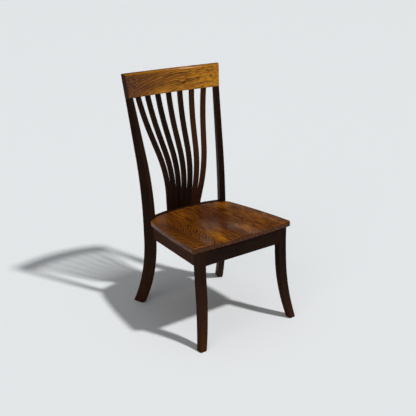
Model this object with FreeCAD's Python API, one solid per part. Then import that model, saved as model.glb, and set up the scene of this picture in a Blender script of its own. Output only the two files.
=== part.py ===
import FreeCAD, Part
import math
import os

# Slat back dining chair, millimetres. +Z is up, the chair faces -Y, and the origin is on the
# floor under the middle of the whole chair. The right half is modelled and mirrored in X = 0.

# Rear posts: sawn from board, toed in, kicked back at the foot and leaned back above the seat
post_x = 200.5
post_y = 203.0
post_toe_in = 22.0
post_side_lean = 0.85
post_back_lean = 1.7
post_width = 27.0
post_depth = 54.0
post_top_depth = 27.0
post_top_height = 956.5
post_foot_kick = 79.0
post_kick_height = 167.0
post_kick_ease = 160.0
post_lean_slope = 0.19
post_bend_height = 553.0
post_bend_ease = 165.0
post_bevel = 3.0

# Front legs: swept outward and forward towards the foot
leg_x = 214.5
leg_y = -207.0
leg_width = 38.0
leg_foot_width = 31.5
leg_out_flare = 30.0
leg_out_height = 135.0
leg_out_ease = 130.0
leg_forward_flare = 57.0
leg_forward_height = 240.0
leg_forward_ease = 200.0
leg_bevel = 3.0
foot_chamfer = 2.0

# Seat
seat_height = 450.0
seat_tilt = 2.65
seat_thickness = 25.0
seat_front_overhang = 9.0
seat_front_bow = 8.0
seat_side_overhang = 23.0
seat_side_bow = 9.0
seat_rear_overhang = 10.0
seat_front_corner_radius = 12.0
seat_rear_corner_radius = 46.0
seat_top_round = 7.0
seat_bottom_bevel = 3.0
seat_gap = 1.0
scoop_depth = 9.0
scoop_width = 424.0
scoop_length = 370.0
scoop_from_front = 250.0
scoop_lift = 0.4
thigh_depth = 7.0
thigh_length = 230.0
ridge_drop = 2.5
scoop_steps = 24
scoop_overrun = 1.3

# Rails under and behind the seat
rail_height = 68.5
rail_thickness = 22.0
rail_inset = 1.5
rail_bevel = 1.5
back_rail_height = 88.0
back_rail_rise = 2.0
back_rail_thickness = 16.0
back_rail_inset = 13.0
back_rail_bow_radius = 590.0

# Crest rail
crest_lean = 10.5
crest_bow_radius = 560.0
crest_thickness = 24.0
crest_height = 107.0
crest_overhang = 13.5
crest_end_flare = 9.0
crest_front_round = 15.0
crest_rear_bevel = 4.0
crest_bevel = 2.0

# Slats: all bent alike, spread evenly under the crest and drawn together at the back rail
slats_each_side = 3
slat_width = 25.0
slat_thickness = 11.0
slat_bevel = 1.5
slat_foot_gap = 1.0
slat_turn_share = 0.55
slat_lumbar = 57.0
slat_lumbar_share = 0.335
slat_lumbar_ease_share = 0.19
slat_upper_share = 0.83
slat_upper_ease_share = 0.17

# Tenons and their mortises
tenon_fit = 0.2
tenon_end_gap = 1.0
tenon_root = 3.0
tenon_wall = 5.0
rail_tenon_thickness = 10.0
rail_tenon_shoulder = 13.5
front_tenon_length = 16.0
side_front_tenon_length = 15.0
side_rear_tenon_length = 14.0
back_tenon_thickness = 8.0
back_tenon_drop = 8.0
back_tenon_length = 13.0
post_tenon_width = 14.0
post_tenon_thickness = 11.0
post_tenon_length = 25.0
slat_tenon_width = 17.0
slat_tenon_thickness = 7.0
slat_tenon_length = 15.0

# Corner blocks and screws
block_height = 32.0
block_leg = 66.0
block_gap = 4.0
screw_diameter = 4.5
screw_head_diameter = 9.0
screw_head_height = 3.0
screw_fit = 0.15
screw_seat_grip = 10.0
screw_from_corner = 17.0

# Beyond every edge of the chair, for cutting shapes
far = 2000.0

X = FreeCAD.Vector(1, 0, 0)
Y = FreeCAD.Vector(0, 1, 0)
Z = FreeCAD.Vector(0, 0, 1)
ORIGIN = FreeCAD.Vector(0, 0, 0)


def vec(x, y, z):
    return FreeCAD.Vector(x, y, z)


def line(start, end):
    return Part.LineSegment(start, end).toShape()


def arc(start, middle, end):
    return Part.Arc(start, middle, end).toShape()


def eased_edge(points, eases):
    """Straight runs between points, each corner eased by an arc that starts that far from it."""
    edges = []
    start = points[0]
    for before, corner, after, ease in zip(points, points[1:], points[2:], eases):
        towards = (corner - before).normalize()
        away = (after - corner).normalize()
        half_turn = towards.getAngle(away) / 2
        inward = (away - towards).normalize()
        first = corner - towards * ease
        last = corner + away * ease
        edges.append(line(start, first))
        edges.append(arc(first, corner + inward * ease * math.tan(half_turn / 2), last))
        start = last
    edges.append(line(start, points[-1]))
    return edges


def prism(edges, direction):
    """Solid swept straight from a closed outline."""
    return Part.Face(Part.Wire(edges)).extrude(direction)


def ribbon_prism(points, other_points, eases, direction):
    """Solid swept straight from the outline between two eased edges that run side by side."""
    edges = eased_edge(points, eases)
    edges.append(line(points[-1], other_points[-1]))
    edges.extend(reversed(eased_edge(other_points, eases)))
    edges.append(line(other_points[0], points[0]))
    return prism(edges, direction)


def polygon_prism(points, direction):
    return Part.Face(Part.makePolygon(points + points[:1])).extrude(direction)


def box(low, high):
    """Box between two opposite corners."""
    size = high - low
    return Part.makeBox(size.x, size.y, size.z, low)


def mirrored(shape):
    return shape.mirror(ORIGIN, X)


def turned(shape, centre, axis, angle):
    copy = shape.copy()
    copy.rotate(centre, axis, angle)
    return copy


def moved(shape, offset):
    copy = shape.copy()
    copy.translate(offset)
    return copy


def rounded(shape, radius, wanted):
    """Fillet the edges that the test picks."""
    return shape.makeFillet(radius, [edge for edge in shape.Edges if wanted(edge)])


def bevelled(shape, size, wanted):
    """Chamfer the edges that the test picks."""
    return shape.makeChamfer(size, [edge for edge in shape.Edges if wanted(edge)])


def bow_sag(x, radius):
    """How far a bow has come forward at a distance from its middle."""
    return radius - math.sqrt(radius ** 2 - x ** 2)


# Places that the pieces share

def seat_front_y():
    return leg_y - leg_width / 2 - seat_front_overhang


def seat_frame(shape):
    """From level at seat height to the seat's backward tilt."""
    return turned(shape, vec(0, seat_front_y(), seat_height), X, -seat_tilt)


def seat_drop(y):
    """How far the tilt lowers the seat at a place behind its front edge."""
    return (y - seat_front_y()) * math.tan(math.radians(seat_tilt))


def layer(depth_top, depth_bottom):
    """All space between two depths below the seat's top plane, tilted with the seat."""
    low = vec(-far, -far, seat_height - depth_bottom)
    high = vec(far, far, seat_height - depth_top)
    return seat_frame(box(low, high))


def post_frame(shape):
    """From the post's own axes (outward, backward, up) to its place on the right."""
    seat_level = vec(0, 0, seat_height)
    leaned = turned(turned(shape, seat_level, X, -post_back_lean), seat_level, Y, -post_side_lean)
    return moved(turned(leaned, ORIGIN, Z, -post_toe_in), vec(post_x, post_y, 0))


def post_point(outward, backward, height):
    return post_frame(Part.Vertex(outward, backward, height)).Point


def post_head():
    """Top of the post's leaning axis, where the crest sits on it."""
    return post_point(0, post_lean_slope * (post_top_height - post_bend_height), post_top_height)


def post_head_angle():
    """Place of the post along the bow of the crest."""
    return math.asin(post_head().x / crest_bow_radius)


def crest_frame(shape):
    """From axes at the middle of the crest's lower edge (across, backward, up its face)."""
    lean = math.radians(crest_lean)
    head = post_head()
    sag = bow_sag(head.x, crest_bow_radius)
    place = vec(0, head.y + sag * math.cos(lean), head.z - sag * math.sin(lean))
    return moved(turned(shape, ORIGIN, X, -crest_lean), place)


def on_crest(shape, angle):
    """From axes at the middle of the crest's thickness (along, backward, up) to its lower edge."""
    radius = crest_bow_radius
    place = vec(radius * math.sin(angle), radius * (math.cos(angle) - 1), 0)
    return crest_frame(moved(turned(shape, ORIGIN, Z, -math.degrees(angle)), place))


def above_crest_foot():
    return crest_frame(box(vec(-far, -far, 0), vec(far, far, far)))


def back_rail_front_radius():
    return back_rail_bow_radius - back_rail_thickness


def back_rail_centre_y():
    """Centre of the back rail's bow, which starts just behind the front corners of the posts."""
    corner = post_point(-post_width / 2, back_rail_inset - post_depth / 2, seat_height)
    return corner.y - math.sqrt(back_rail_front_radius() ** 2 - corner.x ** 2)


def back_rail_middle(x):
    """Point at the middle of the back rail's thickness, on its top plane."""
    radius = back_rail_bow_radius - back_rail_thickness / 2
    y = back_rail_centre_y() + math.sqrt(radius ** 2 - x ** 2)
    return vec(x, y, back_rail_top(y))


def back_rail_top(y):
    """Height of the back rail, which stands a little above the seat."""
    return seat_height - seat_drop(y) + back_rail_rise


def back_rail_front(x):
    """Point on the front face of the back rail, in plan."""
    return vec(x, back_rail_centre_y() + math.sqrt(back_rail_front_radius() ** 2 - x ** 2), 0)


def bow_outline(radius, rear_y, thickness, half_angle):
    """Plan outline of a bowed board, hollow to the front, from the radius of its rear face."""
    centre = vec(0, rear_y - radius, 0)
    front = radius - thickness

    def point(distance, angle):
        return centre + vec(distance * math.sin(angle), distance * math.cos(angle), 0)

    return [
        arc(point(radius, -half_angle), point(radius, 0), point(radius, half_angle)),
        line(point(radius, half_angle), point(front, half_angle)),
        arc(point(front, half_angle), point(front, 0), point(front, -half_angle)),
        line(point(front, -half_angle), point(radius, -half_angle)),
    ]


def side_rail_line():
    """Two plan points of the side rail's outer face, at the leg and at the post."""
    front = vec(leg_x + leg_width / 2 - rail_inset, leg_y + leg_width / 2, 0)
    rear = post_point(post_width / 2 - rail_inset, -post_depth / 2, seat_height)
    return front, vec(rear.x, rear.y, 0)


def side_rail_x(y):
    """Outer face of the side rail at a place along the chair."""
    front, rear = side_rail_line()
    return front.x + (rear.x - front.x) * (y - front.y) / (rear.y - front.y)


def side_rail_outward():
    front, rear = side_rail_line()
    along = (rear - front).normalize()
    return vec(along.y, -along.x, 0)


def side_rail_inner_x(y):
    return side_rail_x(y) - rail_thickness / side_rail_outward().x


def front_rail_rear_y():
    return leg_y - leg_width / 2 + rail_inset + rail_thickness


def rail_middle_height(y):
    return seat_height - seat_thickness - rail_height / 2 - seat_drop(y)


# Tenons: each takes the room round it, which is nothing for the tenon and the fit for its mortise

def reach(length, room):
    """Length of a tenon, or of its mortise with the gap at the end."""
    return length + (tenon_end_gap if room else 0)


def upright_tenon(width, thickness, length, room):
    """Tenon along +Z with a root below that joins its piece."""
    low = vec(-width / 2 - room, -thickness / 2 - room, -tenon_root)
    return box(low, vec(width / 2 + room, thickness / 2 + room, reach(length, room)))


def rail_tenon_half_height(room):
    return rail_height / 2 - rail_tenon_shoulder + room


def post_tenon(room):
    tenon = upright_tenon(post_tenon_width, post_tenon_thickness, post_tenon_length, room)
    return on_crest(tenon, post_head_angle())


def slat_tenon(room):
    return upright_tenon(slat_tenon_width, slat_tenon_thickness, slat_tenon_length, room)


def slat_top_tenon(place, room):
    return on_crest(slat_tenon(room), slat_angle(place))


def slat_foot_tenon(place, room):
    foot = back_rail_middle(slat_foot_x(place))
    angle = math.degrees(math.atan2(foot.x, foot.y - back_rail_centre_y()))
    return moved(turned(turned(slat_tenon(room), ORIGIN, Y, 180), ORIGIN, Z, -angle), foot)


def front_rail_tenon(room):
    face = leg_x - leg_width / 2
    y = front_rail_rear_y() - rail_thickness / 2
    half = vec(0, rail_tenon_thickness / 2 + room, rail_tenon_half_height(room))
    middle = vec(face, y, rail_middle_height(y))
    return box(middle - half - X * tenon_root, middle + half + X * reach(front_tenon_length, room))


def side_rail_front_tenon(room):
    face = leg_y + leg_width / 2
    half = vec(rail_tenon_thickness / 2 + room, 0, rail_tenon_half_height(room))
    middle = vec(side_rail_x(face) - rail_thickness / 2, face, rail_middle_height(face))
    return box(middle - half - Y * reach(side_front_tenon_length, room), middle + half + Y * tenon_root)


def side_rail_rear_tenon(room):
    face = -post_depth / 2
    half = vec(rail_tenon_thickness / 2 + room, 0, rail_tenon_half_height(room))
    middle = vec(0, face, rail_middle_height(post_point(0, face, seat_height).y))
    high = middle + half + Y * reach(side_rear_tenon_length, room)
    return post_frame(box(middle - half - Y * tenon_root, high))


def back_rail_tenon(room):
    """Tenon into the inner face of the post, above the one of the side rail."""
    face = -post_width / 2
    start = post_point(face, 0, seat_height) - vec(0, back_rail_centre_y(), 0)
    back = post_point(face, 1, seat_height) - post_point(face, 0, seat_height)
    radius = back_rail_bow_radius - back_rail_thickness / 2
    along = start.x * back.x + start.y * back.y
    backward = -along + math.sqrt(along ** 2 - start.x ** 2 - start.y ** 2 + radius ** 2)
    y = post_point(face, backward, seat_height).y
    top = back_rail_top(y) - back_tenon_drop + room
    side_tenon_y = post_point(0, -post_depth / 2, seat_height).y
    bottom = rail_middle_height(side_tenon_y) + rail_tenon_half_height(0) + tenon_wall - room
    half = Y * (back_tenon_thickness / 2 + room)
    low = vec(face - tenon_root, backward, bottom) - half
    return post_frame(box(low, vec(face + reach(back_tenon_length, room), backward, top) + half))


# Rear post, drawn in its own axes and then placed

def is_upright(edge):
    return edge.BoundBox.ZLength > post_width


def is_on_floor(edge):
    return edge.BoundBox.ZMax < foot_chamfer / 2


def post_side(side):
    """Front or rear line of the sawn post, from below the floor to above the crest's foot."""
    below = post_width
    above = post_top_height + crest_height - post_bend_height
    kick_slope = post_foot_kick / post_kick_height
    half_taper = (post_depth - post_top_depth) / 2 / (post_top_height - post_bend_height)
    half = side * post_depth / 2
    return [
        vec(0, half + kick_slope * (post_kick_height + below), -below),
        vec(0, half, post_kick_height),
        vec(0, half, post_bend_height),
        vec(0, half + (post_lean_slope - side * half_taper) * above, post_bend_height + above),
    ]


def post():
    eases = [post_kick_ease, post_bend_ease]
    blank = ribbon_prism(post_side(-1), post_side(1), eases, X * post_width)
    blank = bevelled(moved(blank, X * (-post_width / 2)), post_bevel, is_upright)
    solid = post_frame(blank).cut(box(vec(-far, -far, -far), vec(far, far, 0)))
    solid = bevelled(solid, foot_chamfer, is_on_floor)
    solid = solid.cut(above_crest_foot()).fuse(post_tenon(0))
    return solid.cut(side_rail_rear_tenon(tenon_fit)).cut(back_rail_tenon(tenon_fit))


# Front leg: the sweep outward and the sweep forward are sawn one after the other

def leg_sweep(flare, height, ease):
    """Board seen along Y, as wide as the leg, sweeping towards +X at the foot."""

    def side_points(side):
        half = side * leg_width / 2
        foot = vec(flare + side * leg_foot_width / 2, -far, 0)
        return [foot, vec(half, -far, height), vec(half, -far, height + seat_height)]

    return ribbon_prism(side_points(-1), side_points(1), [ease], Y * 2 * far)


def leg_forward_sweep():
    sweep = leg_sweep(leg_forward_flare, leg_forward_height, leg_forward_ease)
    return turned(sweep, ORIGIN, Z, -90)


def leg():
    outward = leg_sweep(leg_out_flare, leg_out_height, leg_out_ease)
    solid = bevelled(outward.common(leg_forward_sweep()), leg_bevel, is_upright)
    solid = bevelled(solid, foot_chamfer, is_on_floor)
    solid = moved(solid, vec(leg_x, leg_y, 0)).cut(layer(-far, seat_thickness))
    return solid.cut(front_rail_tenon(tenon_fit)).cut(side_rail_front_tenon(tenon_fit))


# Rails

def is_rail_length(edge):
    return edge.Length > rail_height * 2


def side_rail():
    rear = post_y + post_depth
    outline = [
        vec(side_rail_x(leg_y), leg_y, 0),
        vec(side_rail_x(rear), rear, 0),
        vec(side_rail_inner_x(rear), rear, 0),
        vec(side_rail_inner_x(leg_y), leg_y, 0),
    ]
    solid = polygon_prism(outline, Z * seat_height)
    solid = solid.common(layer(seat_thickness, seat_thickness + rail_height))
    solid = solid.cut(moved(leg_forward_sweep(), Y * leg_y))
    solid = solid.cut(post_frame(box(vec(-far, -post_depth / 2, -far), vec(far, far, far))))
    solid = bevelled(solid, rail_bevel, is_rail_length)
    return solid.fuse(side_rail_front_tenon(0)).fuse(side_rail_rear_tenon(0))


def front_rail():
    side = leg_x - leg_width / 2
    rear = front_rail_rear_y()
    solid = box(vec(-side, rear - rail_thickness, 0), vec(side, rear, seat_height))
    solid = solid.common(layer(seat_thickness, seat_thickness + rail_height))
    solid = bevelled(solid, rail_bevel, is_rail_length)
    tenon = front_rail_tenon(0)
    return solid.fuse(tenon).fuse(mirrored(tenon))


def back_rail():
    rear = back_rail_centre_y() + back_rail_bow_radius
    half_angle = math.asin((post_x + post_depth) / back_rail_bow_radius)
    outline = bow_outline(back_rail_bow_radius, rear, back_rail_thickness, half_angle)
    solid = prism(outline, Z * far).common(layer(-back_rail_rise, back_rail_height - back_rail_rise))
    beyond_post = post_frame(box(vec(-post_width / 2, -far, -far), vec(far, far, far)))
    solid = solid.cut(beyond_post).cut(mirrored(beyond_post))
    solid = bevelled(solid, rail_bevel, is_rail_length)
    tenon = back_rail_tenon(0)
    solid = solid.fuse(tenon).fuse(mirrored(tenon))
    for place in slat_places():
        solid = solid.cut(slat_foot_tenon(place, tenon_fit))
    return solid


# Crest rail

def crest_blank():
    """Bowed board with both ends cut square to the bow and flared like the posts."""
    end_angle = math.asin((post_head().x + crest_overhang) / crest_bow_radius)
    rear_radius = crest_bow_radius + crest_thickness / 2
    spare_angle = crest_height / crest_bow_radius
    outline = bow_outline(rear_radius, crest_thickness / 2, crest_thickness, end_angle + spare_angle)
    solid = prism(outline, Z * crest_height)
    flare = math.degrees(math.atan2(crest_end_flare, crest_height))
    waste = turned(box(vec(0, -far, -far), vec(far, far, far)), ORIGIN, Y, flare)
    waste = turned(waste, ORIGIN, Z, -math.degrees(end_angle))
    end_x = crest_bow_radius * math.sin(end_angle)
    waste = moved(waste, vec(end_x, crest_bow_radius * (math.cos(end_angle) - 1), 0))
    return solid.cut(waste).cut(mirrored(waste))


def crest():
    def is_long(edge):
        return edge.Length > 2 * crest_height

    def is_rear_top(edge):
        return is_long(edge) and is_crest_top(edge) and edge.Curve.Radius > crest_bow_radius

    def is_front_top(edge):
        return is_long(edge) and is_crest_top(edge) and edge.Curve.Radius < crest_bow_radius

    solid = bevelled(crest_blank(), crest_rear_bevel, is_rear_top)
    solid = rounded(solid, crest_front_round, is_front_top)
    solid = bevelled(solid, crest_bevel, lambda edge: not is_long(edge) or is_crest_foot(edge))
    solid = crest_frame(solid)
    mortise = post_tenon(tenon_fit)
    solid = solid.cut(mortise).cut(mirrored(mortise))
    for place in slat_places():
        solid = solid.cut(slat_top_tenon(place, tenon_fit))
    return solid


def is_crest_top(edge):
    return edge.BoundBox.ZMin > crest_height / 2


def is_crest_foot(edge):
    return edge.BoundBox.ZMax < crest_height / 2


# Slats: place 0 is the middle one, places count outward to the right

def slat_places():
    return range(-slats_each_side, slats_each_side + 1)


def slat_angle(place):
    """Place of the slat's top along the bow of the crest, with even spaces between the posts."""
    return post_head_angle() * place / (slats_each_side + 1)


def slat_foot_x(place):
    return place * (slat_width + slat_foot_gap)


def slat(place):
    """Bent strip in a plane of its own, from the back rail to the crest.

    It starts forward, turns over the lumbar bulge and eases into the straight line between its
    two ends. Its front face turns part of the way with the bow of the crest.
    """
    foot = back_rail_middle(slat_foot_x(place))
    along = on_crest(Part.Vertex(0, 0, 0), slat_angle(place)).Point - foot
    length = along.Length
    along.normalize()
    turn = slat_angle(place) * slat_turn_share
    front = vec(-math.sin(turn), -math.cos(turn), 0)
    front = (front - along * front.dot(along)).normalize()
    across = along.cross(front)
    spare = slat_tenon_length / length

    def side_points(side):
        def point(forward, share):
            return foot + front * (forward + side * slat_thickness / 2) + along * (share * length)

        return [
            point(-slat_lumbar * spare / slat_lumbar_share, -spare),
            point(slat_lumbar, slat_lumbar_share),
            point(0, slat_upper_share),
            point(0, 1 + spare),
        ]

    def is_long(edge):
        tangent = edge.tangentAt(edge.FirstParameter)
        runs_along = abs(tangent.dot(along)) > abs(tangent.dot(across))
        return edge.Length > 2 * slat_thickness and runs_along

    eases = [slat_lumbar_ease_share * length, slat_upper_ease_share * length]
    solid = ribbon_prism(side_points(1), side_points(-1), eases, across * slat_width)
    solid = bevelled(moved(solid, across * (-slat_width / 2)), slat_bevel, is_long)
    solid = solid.cut(layer(-back_rail_rise, far)).cut(above_crest_foot())
    return solid.fuse(slat_top_tenon(place, 0)).fuse(slat_foot_tenon(place, 0))


# Seat, shaped level and then tilted

def seat_outline():
    bottom = seat_height - seat_thickness
    front_half = leg_x + leg_width / 2 + seat_side_overhang
    front_y = seat_front_y() + seat_front_bow
    rear_half = post_point(post_width / 2, -post_depth / 2, seat_height).x + seat_rear_overhang
    middle_y = back_rail_front(0).y - seat_gap
    rear_y = middle_y - bow_sag(rear_half, back_rail_front_radius() - seat_gap)
    front_left = vec(-front_half, front_y, bottom)
    front_right = vec(front_half, front_y, bottom)
    rear_right = vec(rear_half, rear_y, bottom)
    rear_left = vec(-rear_half, rear_y, bottom)
    side_right = (front_right + rear_right) * 0.5 + X * seat_side_bow
    side_left = (front_left + rear_left) * 0.5 - X * seat_side_bow
    return [
        arc(front_left, vec(0, seat_front_y(), bottom), front_right),
        arc(front_right, side_right, rear_right),
        arc(rear_right, vec(0, middle_y, bottom), rear_left),
        arc(rear_left, side_left, front_left),
    ]


def dish(share):
    """Smooth hollow that is 1 in the middle and runs out level where the share is 1."""
    return max(0.0, 1 - share ** 2) ** 2


def scoop_at(x, behind):
    """Depth of the saddle at a distance from the middle and behind the front edge.

    A dish for the sitter joins two hollows for the thighs, which run out through the front edge
    on both sides of a low ridge.
    """
    share = min(1.0, abs(x) / (scoop_width / 2))
    sitter = scoop_depth * dish((behind - scoop_from_front) / (scoop_length / 2))
    front = dish(max(0.0, behind) / thigh_length)
    thighs = thigh_depth * math.sin(math.pi * share) ** 2
    return (sitter + front * ridge_drop) * dish(share) + front * thighs


def scoop():
    """Waste above the saddle, a little proud of the seat all round."""
    steps = [scoop_overrun * (2 * step / scoop_steps - 1) for step in range(scoop_steps + 1)]

    def point(across, along):
        x = across * scoop_width / 2
        behind = scoop_from_front * (1 + along)
        return vec(x, seat_front_y() + behind, seat_height + scoop_lift - scoop_at(x, behind))

    surface = Part.BSplineSurface()
    surface.interpolate([[point(across, along) for along in steps] for across in steps])
    return surface.toShape().extrude(Z * seat_thickness)


def seat():
    def is_corner(edge):
        return edge.BoundBox.ZLength > seat_thickness / 2

    def is_top(edge):
        return edge.BoundBox.ZMin > seat_height - seat_top_round / 2

    def is_bottom(edge):
        return edge.BoundBox.ZMax < seat_height - seat_thickness + seat_bottom_bevel / 2

    solid = prism(seat_outline(), Z * seat_thickness)
    front = lambda edge: is_corner(edge) and edge.BoundBox.YMax < leg_y + leg_width
    solid = rounded(solid, seat_front_corner_radius, front)
    rear = lambda edge: is_corner(edge) and edge.BoundBox.YMin > post_y - 2 * post_depth
    solid = rounded(solid, seat_rear_corner_radius, rear)
    solid = rounded(solid, seat_top_round, is_top)
    solid = bevelled(solid, seat_bottom_bevel, is_bottom)
    notch_corner = vec(-post_width / 2 - seat_gap, -post_depth / 2 - seat_gap, -far)
    notch = post_frame(box(notch_corner, vec(far, far, far)))
    return seat_frame(solid.cut(scoop())).cut(notch).cut(mirrored(notch))


# Corner blocks and screws

def block_layer():
    return layer(seat_thickness, seat_thickness + block_height)


def front_block_corner():
    return leg_x - leg_width / 2 - block_gap, leg_y + leg_width / 2 + block_gap


def front_block():
    """Block behind the front leg, notched round its corner."""
    inner, rear = front_block_corner()
    face = front_rail_rear_y()
    end = rear + block_leg
    outline = [
        vec(inner - block_leg, face, 0),
        vec(inner, face, 0),
        vec(inner, rear, 0),
        vec(side_rail_inner_x(rear), rear, 0),
        vec(side_rail_inner_x(end), end, 0),
    ]
    return polygon_prism(outline, Z * seat_height).common(block_layer())


def rear_block_corner():
    corner = post_point(-post_width / 2, -post_depth / 2, seat_height)
    return corner.x - block_gap, corner.y - block_gap


def rear_block():
    """Block in front of the post, its back cut to the bow of the back rail."""
    inner, front = rear_block_corner()
    end = front - block_leg
    start = back_rail_front(inner - block_leg)
    near = vec(side_rail_inner_x(front), front, 0)
    tip = vec(side_rail_inner_x(end), end, 0)
    outline = [
        arc(start, back_rail_front(inner - block_leg / 2), back_rail_front(inner)),
        line(back_rail_front(inner), near),
        line(near, tip),
        line(tip, start),
    ]
    return prism(outline, Z * seat_height).common(block_layer())


def screw_length():
    """From the underside of the block, where the head sits, up into the seat."""
    return block_height + screw_seat_grip


def screw():
    """Flat headed screw that points along +Z from the underside of its head."""
    head = Part.makeCylinder(screw_head_diameter / 2, screw_head_height, ORIGIN, -Z)
    return head.fuse(Part.makeCylinder(screw_diameter / 2, screw_length()))


def screw_hole():
    """Pilot hole through the block and into the seat."""
    return Part.makeCylinder(screw_diameter / 2 + screw_fit, screw_length() + screw_fit)


def at_screw_places(shape):
    """Copies in the two blocks on the right, square to the seat."""
    front_inner, front_rear = front_block_corner()
    rear_inner, rear_front = rear_block_corner()
    step = screw_from_corner
    height = seat_height - seat_thickness - block_height
    front = moved(shape, vec(front_inner - step, front_rear + step, height))
    rear = moved(shape, vec(rear_inner - step, rear_front - step, height))
    return Part.makeCompound([seat_frame(front), seat_frame(rear)])


def all_nodes():
    screws = at_screw_places(screw())
    holes_right = at_screw_places(screw_hole())
    holes = Part.makeCompound([holes_right, mirrored(holes_right)])
    nodes = {
        "seat": seat().cut(holes),
        "crest_rail": crest(),
        "front_rail": front_rail(),
        "back_rail": back_rail(),
        "screws": Part.makeCompound([screws, mirrored(screws)]),
    }
    pairs = {
        "rear_post": post(),
        "front_leg": leg(),
        "side_rail": side_rail(),
        "front_corner_block": front_block().cut(holes_right),
        "rear_corner_block": rear_block().cut(holes_right),
    }
    for name, shape in pairs.items():
        nodes[name + "_right"] = shape
        nodes[name + "_left"] = mirrored(shape)
    for place in slat_places():
        nodes["slat_%d" % (place + slats_each_side + 1)] = slat(place)
    return nodes


def export(nodes):
    """Write each piece with the origin under the middle of the whole chair."""
    bounds = Part.makeCompound(list(nodes.values())).optimalBoundingBox(False)
    shift = vec(-bounds.Center.x, -bounds.Center.y, -bounds.ZMin)
    os.makedirs("parts", exist_ok=True)
    for name, shape in nodes.items():
        moved(shape, shift).exportStep("parts/%s.step" % name)


export(all_nodes())
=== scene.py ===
import math

import bpy
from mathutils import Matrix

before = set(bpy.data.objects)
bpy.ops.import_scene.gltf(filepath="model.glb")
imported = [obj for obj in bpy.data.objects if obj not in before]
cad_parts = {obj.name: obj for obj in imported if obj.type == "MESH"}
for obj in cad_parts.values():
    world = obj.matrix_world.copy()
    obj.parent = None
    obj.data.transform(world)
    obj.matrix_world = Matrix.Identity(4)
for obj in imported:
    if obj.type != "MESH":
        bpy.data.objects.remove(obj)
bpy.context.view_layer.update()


# Rear posts: each sawn in one piece from a thick plank, from the floor to the crest, and toed in.
# Hardwood with planed sides and bevelled corners, stained to espresso and lacquered.
# The rails are tenoned into them, and the crest sits on a tenon at the top of each.

def linear(hex_code):
    """sRGB hex colour as the linear red, green, blue and alpha that a shader takes."""
    shares = [int(hex_code[place:place + 2], 16) / 255 for place in (1, 3, 5)]
    return [s / 12.92 if s <= 0.04045 else ((s + 0.055) / 1.055) ** 2.4 for s in shares] + [1.0]


def add(tree, kind, inputs=None, stops=None, **settings):
    """Adds one node: settings are its properties, inputs are values or sockets by input name or
    number, and stops are the places and hex colours of a colour ramp, with its two ends first."""
    node = tree.nodes.new(kind)
    for key, value in settings.items():
        setattr(node, key, value)
    for key, value in (inputs or {}).items():
        if isinstance(value, bpy.types.NodeSocket):
            tree.links.new(value, node.inputs[key])
        else:
            node.inputs[key].default_value = value
    for number, (place, hex_code) in enumerate(stops or []):
        elements = node.color_ramp.elements
        element = elements[number] if number < 2 else elements.new(place)
        element.position = place
        element.color = linear(hex_code)
    return node


# A mix node's sockets share their names between kinds of value, so those for colours go by number.
mix_share, mix_from, mix_to, mixed = 0, 6, 7, 2


def bare_material(name):
    """A new material with nothing but its shader and output, and the node tree to fill."""
    material = bpy.data.materials.new(name)
    material.use_nodes = True
    return material, material.node_tree, material.node_tree.nodes["Principled BSDF"]


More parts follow.
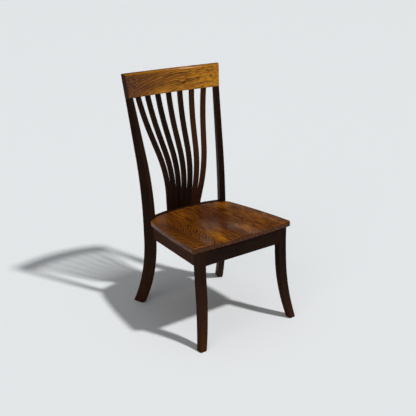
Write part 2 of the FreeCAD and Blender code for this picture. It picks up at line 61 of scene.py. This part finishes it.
def espresso_hardwood(name, grain, seed, red=0.0, turn=(0.0, 0.0, 0.0)):
    """Sanded hardwood, wiped with espresso stain under satin lacquer. The stain sinks into the pores,
    so fine dark streaks run along the fibres over a red brown ground. Corners that hands rub show
    some of the brown wood again, the wood turns lighter and redder towards the floor as painted light
    from the floor, and the lacquer gives a soft sheen.
    grain stretches the pattern along the fibres, seed moves it, turn is the lean of the piece that
    the fibres follow, and red is how much of the red ground the stain leaves; it differs between
    pieces partly as painted light, higher where a piece stands in the light."""
    material, tree, shader = bare_material(name)
    place = add(tree, "ShaderNodeTexCoord").outputs["Object"]
    upright = add(tree, "ShaderNodeMapping", {"Vector": place, "Rotation": turn,
                                              "Location": (seed, seed, seed)}).outputs["Vector"]
    along = add(tree, "ShaderNodeMapping", {"Vector": upright, "Scale": grain}).outputs["Vector"]
    # The real pores are a third of a millimetre wide and are drawn coarser, to show at all.
    streak_mm = 7
    pore_mm = 2.5
    cloud_mm = 55
    streak = add(tree, "ShaderNodeTexNoise", {"Vector": along, "Scale": 1000 / streak_mm,
                                              "Detail": 3.0, "Roughness": 0.6}).outputs["Fac"]
    pore = add(tree, "ShaderNodeTexNoise", {"Vector": along, "Scale": 1000 / pore_mm,
                                            "Detail": 2.0}).outputs["Fac"]
    cloud = add(tree, "ShaderNodeTexNoise", {"Vector": along, "Scale": 1000 / cloud_mm,
                                             "Detail": 2.0}).outputs["Fac"]
    stain = add(tree, "ShaderNodeValToRGB", {"Fac": streak},
                [(0.3, "#060403"), (0.72, "#25140b"), (0.5, "#100805")]).outputs["Color"]
    ground = add(tree, "ShaderNodeValToRGB", {"Fac": cloud},
                 [(0.32, "#0a0504"), (0.68, "#22120a")]).outputs["Color"]
    ground_share = 0.45
    colour = add(tree, "ShaderNodeMix", {mix_share: ground_share, mix_from: stain, mix_to: ground},
                 data_type="RGBA").outputs[mixed]
    # Painted floor light: the wood turns lighter and redder from the floor up to this height in metres.
    floor_light_top = 0.32
    floor_light_share = 0.4
    brown_wood = linear("#4a2812")
    height = add(tree, "ShaderNodeSeparateXYZ", {"Vector": place}).outputs["Z"]
    # The share of the red brown ground: the piece's red share, rising towards the floor as painted floor
    # light.
    red_and_floor_light = add(tree, "ShaderNodeMapRange",
                  {"Value": height, "From Min": floor_light_top, "From Max": 0.0,
                   "To Min": red, "To Max": red + floor_light_share}).outputs["Result"]
    colour = add(tree, "ShaderNodeMix", {mix_share: red_and_floor_light, mix_from: colour, mix_to: brown_wood},
                 data_type="RGBA").outputs[mixed]
    stained_pore = linear("#0b0604")
    filled = add(tree, "ShaderNodeMapRange", {"Value": pore, "From Min": 0.52, "From Max": 0.66,
                                              "To Min": 0.0, "To Max": 0.6}).outputs["Result"]
    colour = add(tree, "ShaderNodeMix", {mix_share: filled, mix_from: colour, mix_to: stained_pore},
                 data_type="RGBA").outputs[mixed]
    rub_mm = 3
    rubbed_wood = linear("#5e321a")
    softened = add(tree, "ShaderNodeBevel", {"Radius": rub_mm / 1000}, samples=6).outputs["Normal"]
    facing = add(tree, "ShaderNodeNewGeometry").outputs["Normal"]
    level = add(tree, "ShaderNodeVectorMath", {0: softened, 1: facing},
                operation="DOT_PRODUCT").outputs["Value"]
    corner = add(tree, "ShaderNodeMapRange", {"Value": level, "From Min": 0.995, "From Max": 0.93,
                                              "To Min": 0.0, "To Max": 1.0}).outputs["Result"]
    patch = add(tree, "ShaderNodeMapRange", {"Value": cloud, "From Min": 0.4, "From Max": 0.65,
                                             "To Min": 0.15, "To Max": 0.65}).outputs["Result"]
    worn = add(tree, "ShaderNodeMath", {0: corner, 1: patch}, operation="MULTIPLY").outputs[0]
    colour = add(tree, "ShaderNodeMix", {mix_share: worn, mix_from: colour, mix_to: rubbed_wood},
                 data_type="RGBA").outputs[mixed]
    gloss = add(tree, "ShaderNodeMapRange", {"Value": cloud, "From Min": 0.3, "From Max": 0.7,
                                             "To Min": 0.48, "To Max": 0.62}).outputs["Result"]
    relief_mm = 0.4
    relief = add(tree, "ShaderNodeBump", {"Height": streak, "Strength": 0.15,
                                          "Distance": relief_mm / 1000}).outputs["Normal"]
    tree.links.new(colour, shader.inputs["Base Color"])
    tree.links.new(gloss, shader.inputs["Roughness"])
    tree.links.new(relief, shader.inputs["Normal"])
    shader.inputs["IOR"].default_value = 1.5
    shader.inputs["Specular IOR Level"].default_value = 0.04
    return material


def finish_nodes(material, *names):
    """Gives the material to every slot of the named CAD pieces."""
    for name in names:
        for part_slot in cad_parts[name].material_slots:
            part_slot.material = material


upright_grain = (1.0, 1.0, 0.05)
# The red shares are partly painted light: the left post, on the lit side, keeps more of the red ground.
for side, seed, red in (("left", 1.7, 0.15), ("right", 4.1, 0.1)):
    wood = espresso_hardwood(f"espresso_hardwood_{side}_post", upright_grain, seed, red)
    finish_nodes(wood, f"rear_post_{side}")


# Front legs: sabre legs sawn from thick stock, swept forward and outward, and tapered to the foot.
# The same stained hardwood, with the fibres running up the leg.
# They stand under the corners of the seat, with the front and side rails tenoned into them.

# The red shares are painted light: the left leg, on the lit side, is drawn redder than the right.
for side, seed, red in (("left", 7.3, 0.2), ("right", 9.9, 0.0)):
    wood = espresso_hardwood(f"espresso_hardwood_{side}_leg", upright_grain, seed, red)
    finish_nodes(wood, f"front_leg_{side}")


# Front and side rails: straight aprons under the seat, planed boards of the same stained hardwood.
# Their fibres run along the board, from leg to leg and from leg to post.
# Each end is a tenon that is glued into its leg or post.

cross_grain = (0.05, 1.0, 1.0)
# The front rail's low red share is painted shade, for it lies in the shadow under the seat.
finish_nodes(espresso_hardwood("espresso_hardwood_front_rail", cross_grain, 2.9, 0.08), "front_rail")

rearward_grain = (1.0, 0.05, 1.0)
side_taper = math.radians(5.0)
# The red shares are painted light: the left rail, on the lit side, is drawn much redder than the right.
for side, seed, red, taper in (("left", 5.3, 0.6, side_taper), ("right", 8.7, 0.1, -side_taper)):
    wood = espresso_hardwood(f"espresso_hardwood_{side}_rail", rearward_grain, seed, red,
                             (0.0, 0.0, taper))
    finish_nodes(wood, f"side_rail_{side}")


# Back rail: a bowed rail between the posts, sawn to its curve, with its top just above the seat's rear.
# The same stained hardwood, tenoned into both posts, with a mortise for the foot of each slat.

finish_nodes(espresso_hardwood("espresso_hardwood_back_rail", cross_grain, 6.1), "back_rail")


# Slats: seven thin strips, steamed to a lumbar curve, drawn together at the foot and fanned out above.
# The same stained hardwood with its fibres along its lean, each strip with a red share of its own,
# the two on the right much redder as painted light where the light falls on them.
# They are tenoned into the back rail and the crest.

# Red share of each slat, partly painted light: slats 6 and 7 stand in the light and are drawn redder.
slat_red_and_light = [0.1, 0.05, 0.0, 0.1, 0.1, 0.45, 0.5]
slat_fan = math.radians(3.5)
slat_seed = 3.3
middle_slat = 4
for number, red in enumerate(slat_red_and_light, start=1):
    lean = (number - middle_slat) * slat_fan
    wood = espresso_hardwood(f"espresso_hardwood_slat_{number}", upright_grain, slat_seed * number, red,
                             (0.0, -lean, 0.0))
    finish_nodes(wood, f"slat_{number}")


# Crest rail: a wide board, sawn to a bow from thick stock, with a rounded top edge.
# Figured hardwood in a golden brown stain under gloss lacquer, with the fibres along the board.
# It sits on the two posts and on the slats, each by a tenon.

def spot(tree, place, centre, size, lean=0.0):
    """A soft mark that is 1 at its centre and fades to 0 at its size along x, y and z, where lean
    raises its right end by that many degrees."""
    local = add(tree, "ShaderNodeMapping", {"Vector": place, "Location": centre, "Scale": size,
                                            "Rotation": (0.0, math.radians(-lean), 0.0)},
                vector_type="TEXTURE").outputs["Vector"]
    return add(tree, "ShaderNodeTexGradient", {"Vector": local},
               gradient_type="SPHERICAL").outputs["Fac"]


def board_values(tree, across, boards):
    """The heart's place, its depth and the strength of the lines, of the board at the place across."""
    vector_from, vector_to, vector_mixed = 4, 5, 1
    values = add(tree, "ShaderNodeCombineXYZ", dict(zip("XYZ", boards[0][1:]))).outputs["Vector"]
    for edge, *own in boards[1:]:
        beyond = add(tree, "ShaderNodeMath", {0: across, 1: edge}, operation="GREATER_THAN").outputs[0]
        values = add(tree, "ShaderNodeMix", {mix_share: beyond, vector_from: values, vector_to: own},
                     data_type="VECTOR").outputs[vector_mixed]
    return add(tree, "ShaderNodeSeparateXYZ", {"Vector": values}).outputs


def growth_years(tree, across, along, own, slope, point, year_mm):
    """Years of growth from the heart: the distance from it, with the heart at a slant to the surface,
    plus a point share of the distance to its side, which draws the arches to a tip."""
    aside = add(tree, "ShaderNodeMath", {0: across, 1: own["X"]}, operation="SUBTRACT").outputs[0]
    below = add(tree, "ShaderNodeMath", {0: along, 1: slope, 2: own["Y"]},
                operation="MULTIPLY_ADD").outputs[0]
    offset = add(tree, "ShaderNodeCombineXYZ", {"X": aside, "Y": below}).outputs["Vector"]
    radius = add(tree, "ShaderNodeVectorMath", {0: offset}, operation="LENGTH").outputs["Value"]
    side = add(tree, "ShaderNodeMath", {0: aside}, operation="ABSOLUTE").outputs[0]
    pointed = add(tree, "ShaderNodeMath", {0: side, 1: point, 2: radius},
                  operation="MULTIPLY_ADD").outputs[0]
    return add(tree, "ShaderNodeMath", {0: pointed, 1: 1000 / year_mm}, operation="MULTIPLY").outputs[0]


def figured_hardwood(name, axes, fibres, boards, slope, point, year_mm, waver, seed, tones, marks,
                     knots=()):
    """Figured hardwood, planed and sanded, golden brown stain under gloss lacquer. The growth of a
    year is a golden band with two faint lines, and it ends in a dark one. The years lie round the
    heart of the trunk, which the saw cut at a slant, so the lines draw arches. The ends of the fibres
    drink more stain and turn dark, rims that face partly up are drawn golden, as wear from hands and
    legs and as painted light where the rolled edge catches the light, and the lacquer gives clear
    highlights.
    axes names the axis over the boards, the one along the fibres and the one through the broad faces,
    which alone show the arches. fibres stretches the fine patterns along the fibres, and seed moves
    them. A board is the place of its edge and of its heart, the heart's depth, and how strongly its
    lines show. slope is the heart's slant, point is how much the arches draw to a tip, year_mm is the
    width of a year, and waver is how many years the lines wander. A mark is a tone, its share, its
    place, its size and its lean, if any, and a knot is a place and a size."""
    material, tree, shader = bare_material(name)
    place = add(tree, "ShaderNodeTexCoord").outputs["Object"]
    split = add(tree, "ShaderNodeSeparateXYZ", {"Vector": place}).outputs
    moved = add(tree, "ShaderNodeMapping", {"Vector": place, "Location": (seed, seed, seed),
                                            "Scale": fibres}).outputs["Vector"]
    # Bands, streaks and fibres are drawn some times wider than real ones, to show in the picture.
    wander_mm = 38
    fibre_mm = 9
    cloud_mm = 70
    wander, fibre, cloud = [
        add(tree, "ShaderNodeTexNoise", {"Vector": moved, "Scale": 1000 / size_mm,
                                         "Detail": 3.0, "Roughness": 0.6}).outputs["Fac"]
        for size_mm in (wander_mm, fibre_mm, cloud_mm)]
    normal = add(tree, "ShaderNodeNewGeometry").outputs["Normal"]
    facing = add(tree, "ShaderNodeSeparateXYZ", {"Vector": normal}).outputs

    own = board_values(tree, split[axes[0]], boards)
    years = growth_years(tree, split[axes[0]], split[axes[1]], own, slope, point, year_mm)
    years = add(tree, "ShaderNodeMath", {0: wander, 1: waver, 2: years},
                operation="MULTIPLY_ADD").outputs[0]
    # The lines part round a knot, over four times its size.
    knot_reach = 4
    knot_swell = 0.8
    for centre, size in knots:
        swell = spot(tree, place, centre, [knot_reach * extent for extent in size])
        years = add(tree, "ShaderNodeMath", {0: swell, 1: knot_swell, 2: years},
                    operation="MULTIPLY_ADD").outputs[0]
    year = add(tree, "ShaderNodeMath", {0: years}, operation="FRACT").outputs[0]
    seasons = [(0.0, "late"), (1.0, "late"), (0.12, "gold"), (0.28, "middle"), (0.36, "brown"),
               (0.44, "gold"), (0.6, "middle"), (0.68, "brown"), (0.76, "gold"), (0.92, "late")]
    rings = add(tree, "ShaderNodeValToRGB", {"Fac": year},
                [(season, tones[tone]) for season, tone in seasons]).outputs["Color"]
    plain = add(tree, "ShaderNodeValToRGB", {"Fac": fibre},
                [(0.34, tones["late"]), (0.66, tones["gold"]), (0.5, tones["middle"])]).outputs["Color"]
    broad = add(tree, "ShaderNodeMath", {0: facing[axes[2]]}, operation="ABSOLUTE").outputs[0]
    broad = add(tree, "ShaderNodeMapRange", {"Value": broad, "From Min": 0.6,
                                             "From Max": 0.9}).outputs["Result"]
    shown = add(tree, "ShaderNodeMath", {0: broad, 1: own["Z"]}, operation="MULTIPLY").outputs[0]
    colour = add(tree, "ShaderNodeMix", {mix_share: shown, mix_from: plain, mix_to: rings},
                 data_type="RGBA").outputs[mixed]

    shade = add(tree, "ShaderNodeMapRange", {"Value": cloud, "From Min": 0.56, "From Max": 0.4,
                                             "To Min": 0.0, "To Max": 0.5}).outputs["Result"]
    colour = add(tree, "ShaderNodeMix", {mix_share: shade, mix_from: colour,
                                         mix_to: linear(tones["brown"])},
                 data_type="RGBA").outputs[mixed]
    for tone, share, *where in marks:
        streaked = add(tree, "ShaderNodeMapRange",
                       {"Value": fibre, "From Min": 0.35, "From Max": 0.6,
                        "To Min": 0.3 * share, "To Max": 1.2 * share}).outputs["Result"]
        amount = add(tree, "ShaderNodeMath", {0: spot(tree, place, *where), 1: streaked},
                     operation="MULTIPLY").outputs[0]
        colour = add(tree, "ShaderNodeMix", {mix_share: amount, mix_from: colour,
                                             mix_to: linear(tones[tone])},
                     data_type="RGBA").outputs[mixed]
    # Rims that face partly up turn golden: wear from hands and legs, and painted light where the rolled
    # edge catches the light.
    rim_wear_and_light_share = 0.3
    rim = add(tree, "ShaderNodeValToRGB", {"Fac": facing["Z"]},
              [(0.3, "#000000"), (0.97, "#000000"), (0.5, "#ffffff"), (0.85, "#ffffff")]).outputs["Color"]
    rim_wear_and_light = add(tree, "ShaderNodeMath", {0: rim, 1: rim_wear_and_light_share}, operation="MULTIPLY").outputs[0]
    colour = add(tree, "ShaderNodeMix", {mix_share: rim_wear_and_light, mix_from: colour,
                                         mix_to: linear(tones["gold"])},
                 data_type="RGBA").outputs[mixed]
    end_on = add(tree, "ShaderNodeMath", {0: facing[axes[1]]}, operation="ABSOLUTE").outputs[0]
    thirst = add(tree, "ShaderNodeMapRange", {"Value": end_on, "From Min": 0.55, "From Max": 0.9,
                                              "To Min": 0.0, "To Max": 0.75}).outputs["Result"]
    colour = add(tree, "ShaderNodeMix", {mix_share: thirst, mix_from: colour,
                                         mix_to: linear(tones["end"])},
                 data_type="RGBA").outputs[mixed]

    gloss = add(tree, "ShaderNodeMapRange", {"Value": cloud, "From Min": 0.3, "From Max": 0.7,
                                             "To Min": 0.16, "To Max": 0.3}).outputs["Result"]
    relief_mm = 0.3
    relief = add(tree, "ShaderNodeBump", {"Height": fibre, "Strength": 0.08,
                                          "Distance": relief_mm / 1000}).outputs["Normal"]
    tree.links.new(colour, shader.inputs["Base Color"])
    tree.links.new(gloss, shader.inputs["Roughness"])
    tree.links.new(relief, shader.inputs["Normal"])
    shader.inputs["IOR"].default_value = 1.5
    shader.inputs["Specular IOR Level"].default_value = 0.15
    return material


crest_tones = {"gold": "#c08022", "middle": "#7e4912", "late": "#2c1405", "brown": "#43200a",
               "knot": "#160a04", "end": "#1c0d07"}
# Places and sizes are in metres, and marks and knots go through the whole bow of the board.
knot_y, knot_through = 0.25, 0.2
crest_knots = [((0.147, knot_y, 0.998), (0.012, knot_through, 0.009)),
               ((0.075, knot_y, 0.983), (0.011, knot_through, 0.008)),
               ((0.205, knot_y, 1.005), (0.008, knot_through, 0.009))]
crest_y, crest_through = 0.27, 0.5
crest_marks = [("brown", 1.2, (-0.28, crest_y, 1.02), (0.36, crest_through, 0.16)),
               ("gold", 0.9, (0.21, crest_y, 0.985), (0.16, crest_through, 0.08)),
               ("gold", 0.5, (-0.02, crest_y, 0.955), (0.16, crest_through, 0.03)),
               ("late", 0.9, (0.11, crest_y, 0.991), (0.11, crest_through, 0.005), 12.0),
               ("late", 0.9, (0.16, crest_y, 0.976), (0.08, crest_through, 0.005), 8.5),
               ("late", 0.8, (0.02, crest_y, 0.956), (0.04, crest_through, 0.005), 15.0)]
crest_marks += [("knot", 1.2, centre, size) for centre, size in crest_knots]
crest_board = (0.0, 0.90, -0.0625, 0.55)
crest_wood = figured_hardwood("figured_hardwood_crest", "ZXY", (0.09, 1.6, 1.6), [crest_board],
                              slope=0.25, point=0.0, year_mm=24, waver=0.7, seed=2.2,
                              tones=crest_tones, marks=crest_marks, knots=crest_knots)
finish_nodes(crest_wood, "crest_rail")


# Corner blocks: triangles of plain hardwood, sawn and left unfinished.
# They are glued into the corners of the rails to stiffen the frame, and the seat rests on them.

def sawn_hardwood(name):
    """Plain beech as it comes from the saw, without stain or lacquer: pale, dry and dull, with fine
    flecks along the fibres and faint tracks of the saw."""
    material, tree, shader = bare_material(name)
    place = add(tree, "ShaderNodeTexCoord").outputs["Object"]
    along = add(tree, "ShaderNodeMapping", {"Vector": place, "Scale": (1.0, 0.1, 1.0)}).outputs["Vector"]
    fleck_mm = 3
    fleck = add(tree, "ShaderNodeTexNoise", {"Vector": along, "Scale": 1000 / fleck_mm,
                                             "Detail": 3.0}).outputs["Fac"]
    wood = add(tree, "ShaderNodeValToRGB", {"Fac": fleck},
               [(0.3, "#9a7650"), (0.7, "#c5a27a")]).outputs["Color"]
    relief_mm = 0.4
    relief = add(tree, "ShaderNodeBump", {"Height": fleck, "Strength": 0.3,
                                          "Distance": relief_mm / 1000}).outputs["Normal"]
    gloss = add(tree, "ShaderNodeMapRange", {"Value": fleck, "To Min": 0.65,
                                             "To Max": 0.8}).outputs["Result"]
    tree.links.new(wood, shader.inputs["Base Color"])
    tree.links.new(relief, shader.inputs["Normal"])
    tree.links.new(gloss, shader.inputs["Roughness"])
    return material


finish_nodes(sawn_hardwood("sawn_beech"), "front_corner_block_left", "front_corner_block_right",
             "rear_corner_block_left", "rear_corner_block_right")


# Seat: four boards glued edge to edge, carved to a saddle on top and rounded over along the rim.
# Figured hardwood in a deeper stain under the same gloss lacquer, with its fibres from back to front.
# It lies on the rails and blocks, and is held from below by a screw in each block.

seat_tones = {"gold": "#8e530d", "middle": "#61330e", "late": "#220d05", "brown": "#47230e",
              "streak": "#b8730e", "end": "#351a0a"}
seat_boards = [(-0.30, -0.178, 0.12, 0.75), (-0.115, -0.06, 0.2, 0.3), (-0.01, 0.085, 0.03, 0.2),
               (0.125, 0.19, -0.02, 0.25)]
seat_z, seat_through = 0.43, 0.2
seat_marks = [("streak", 0.9, (-0.092, -0.21, seat_z), (0.028, 0.10, seat_through)),
              ("gold", 0.8, (-0.19, 0.10, seat_z), (0.05, 0.07, seat_through)),
              ("brown", 0.8, (-0.19, -0.03, seat_z), (0.12, 0.24, seat_through)),
              ("brown", 1.0, (0.02, -0.01, seat_z), (0.10, 0.2, seat_through)),
              ("streak", 0.5, (0.06, -0.20, seat_z), (0.03, 0.09, seat_through)),
              ("gold", 0.6, (0.18, -0.12, seat_z), (0.06, 0.14, seat_through)),
              ("streak", 0.5, (0.17, 0.10, seat_z), (0.05, 0.06, seat_through))]
seat_wood = figured_hardwood("figured_hardwood_seat", "XYZ", (1.0, 0.15, 1.0), seat_boards,
                             slope=-1.0, point=1.8, year_mm=60, waver=1.2, seed=3.4,
                             tones=seat_tones, marks=seat_marks)
finish_nodes(seat_wood, "seat")


# Screws: four turned steel wood screws, with flat heads that sit under the corner blocks.
# Each goes up through its block into the seat and draws it down on the rails.

def zinc_plated_steel(name):
    """Turned steel with a thin bright zinc plating: a grey metal with a faint yellow cast, mottled by
    handling, and fine marks that blur what it reflects."""
    material, tree, shader = bare_material(name)
    place = add(tree, "ShaderNodeTexCoord").outputs["Object"]
    mottle_mm = 2
    mottle = add(tree, "ShaderNodeTexNoise", {"Vector": place, "Scale": 1000 / mottle_mm,
                                              "Detail": 3.0}).outputs["Fac"]
    metal = add(tree, "ShaderNodeValToRGB", {"Fac": mottle},
                [(0.3, "#a9a699"), (0.7, "#cfccc0")]).outputs["Color"]
    gloss = add(tree, "ShaderNodeMapRange", {"Value": mottle, "To Min": 0.3,
                                             "To Max": 0.45}).outputs["Result"]
    relief_mm = 0.1
    relief = add(tree, "ShaderNodeBump", {"Height": mottle, "Strength": 0.1,
                                          "Distance": relief_mm / 1000}).outputs["Normal"]
    tree.links.new(metal, shader.inputs["Base Color"])
    tree.links.new(gloss, shader.inputs["Roughness"])
    tree.links.new(relief, shader.inputs["Normal"])
    shader.inputs["Metallic"].default_value = 1.0
    return material


finish_nodes(zinc_plated_steel("zinc_plated_steel"), "screws")


# Studio: a pale floor of matt paint that meets a pale cove all round, a key light high to the right
# of the chair's front, and a weak wide fill from the left.
# The camera stands to the left of the chair's front and looks down at it, as for the photograph.

floor_reach = 60.0
floor_mesh = bpy.data.meshes.new("floor")
floor_mesh.from_pydata([(-floor_reach, -floor_reach, 0), (floor_reach, -floor_reach, 0),
                        (floor_reach, floor_reach, 0), (-floor_reach, floor_reach, 0)],
                       [], [(0, 1, 2, 3)])
floor = bpy.data.objects.new("floor", floor_mesh)
bpy.context.collection.objects.link(floor)
# Rolled matt paint: even and pale, with hardly any sheen.
floor_paint, _, floor_shader = bare_material("matt_floor_paint")
floor_shader.inputs["Base Color"].default_value = linear("#eceeef")
floor_shader.inputs["Roughness"].default_value = 0.9
floor_shader.inputs["Specular IOR Level"].default_value = 0.2
floor_mesh.materials.append(floor_paint)


def far_light(name, strength, softness, height, side):
    """A light so far away that it is even: softness is its width, height its angle above the floor,
    and side its angle to the left of the chair's front, all in degrees."""
    lamp = bpy.data.lights.new(name, "SUN")
    lamp.energy = strength
    lamp.angle = math.radians(softness)
    light = bpy.data.objects.new(name, lamp)
    light.rotation_euler = (math.radians(90 - height), 0.0, math.radians(-side))
    bpy.context.collection.objects.link(light)


far_light("key_light", strength=2.45, softness=4.0, height=56.0, side=-28.0)
far_light("fill_light", strength=0.45, softness=40.0, height=30.0, side=65.0)

# The cove is pale near the floor and overhead, and dim between, so that lacquer doesn't mirror haze.
world = bpy.data.worlds.new("studio")
world.use_nodes = True
cove = world.node_tree
outward = add(cove, "ShaderNodeTexCoord").outputs["Generated"]
upward = add(cove, "ShaderNodeSeparateXYZ", {"Vector": outward}).outputs["Z"]
cove_colour = add(cove, "ShaderNodeValToRGB", {"Fac": upward},
                  [(0.0, "#c3c7ca"), (1.0, "#c0c2c4"), (0.16, "#c3c7ca"), (0.23, "#4a4b4c"),
                   (0.45, "#303132"), (0.75, "#6a6c6e")]).outputs["Color"]
cove.links.new(cove_colour, cove.nodes["Background"].inputs["Color"])
bpy.context.scene.world = world

camera_pitch = 0.3649
camera_turn = 0.6229
camera_data = bpy.data.cameras.new("camera")
camera_data.sensor_width = 36.0
camera_data.lens = 60.87
camera = bpy.data.objects.new("camera", camera_data)
bpy.context.collection.objects.link(camera)
camera.location = (-1.6854, -2.3577, 1.5879)
camera.rotation_euler = (math.radians(90) - camera_pitch, 0.0, -camera_turn)
bpy.context.scene.camera = camera
bpy.context.scene.view_settings.view_transform = "Standard"
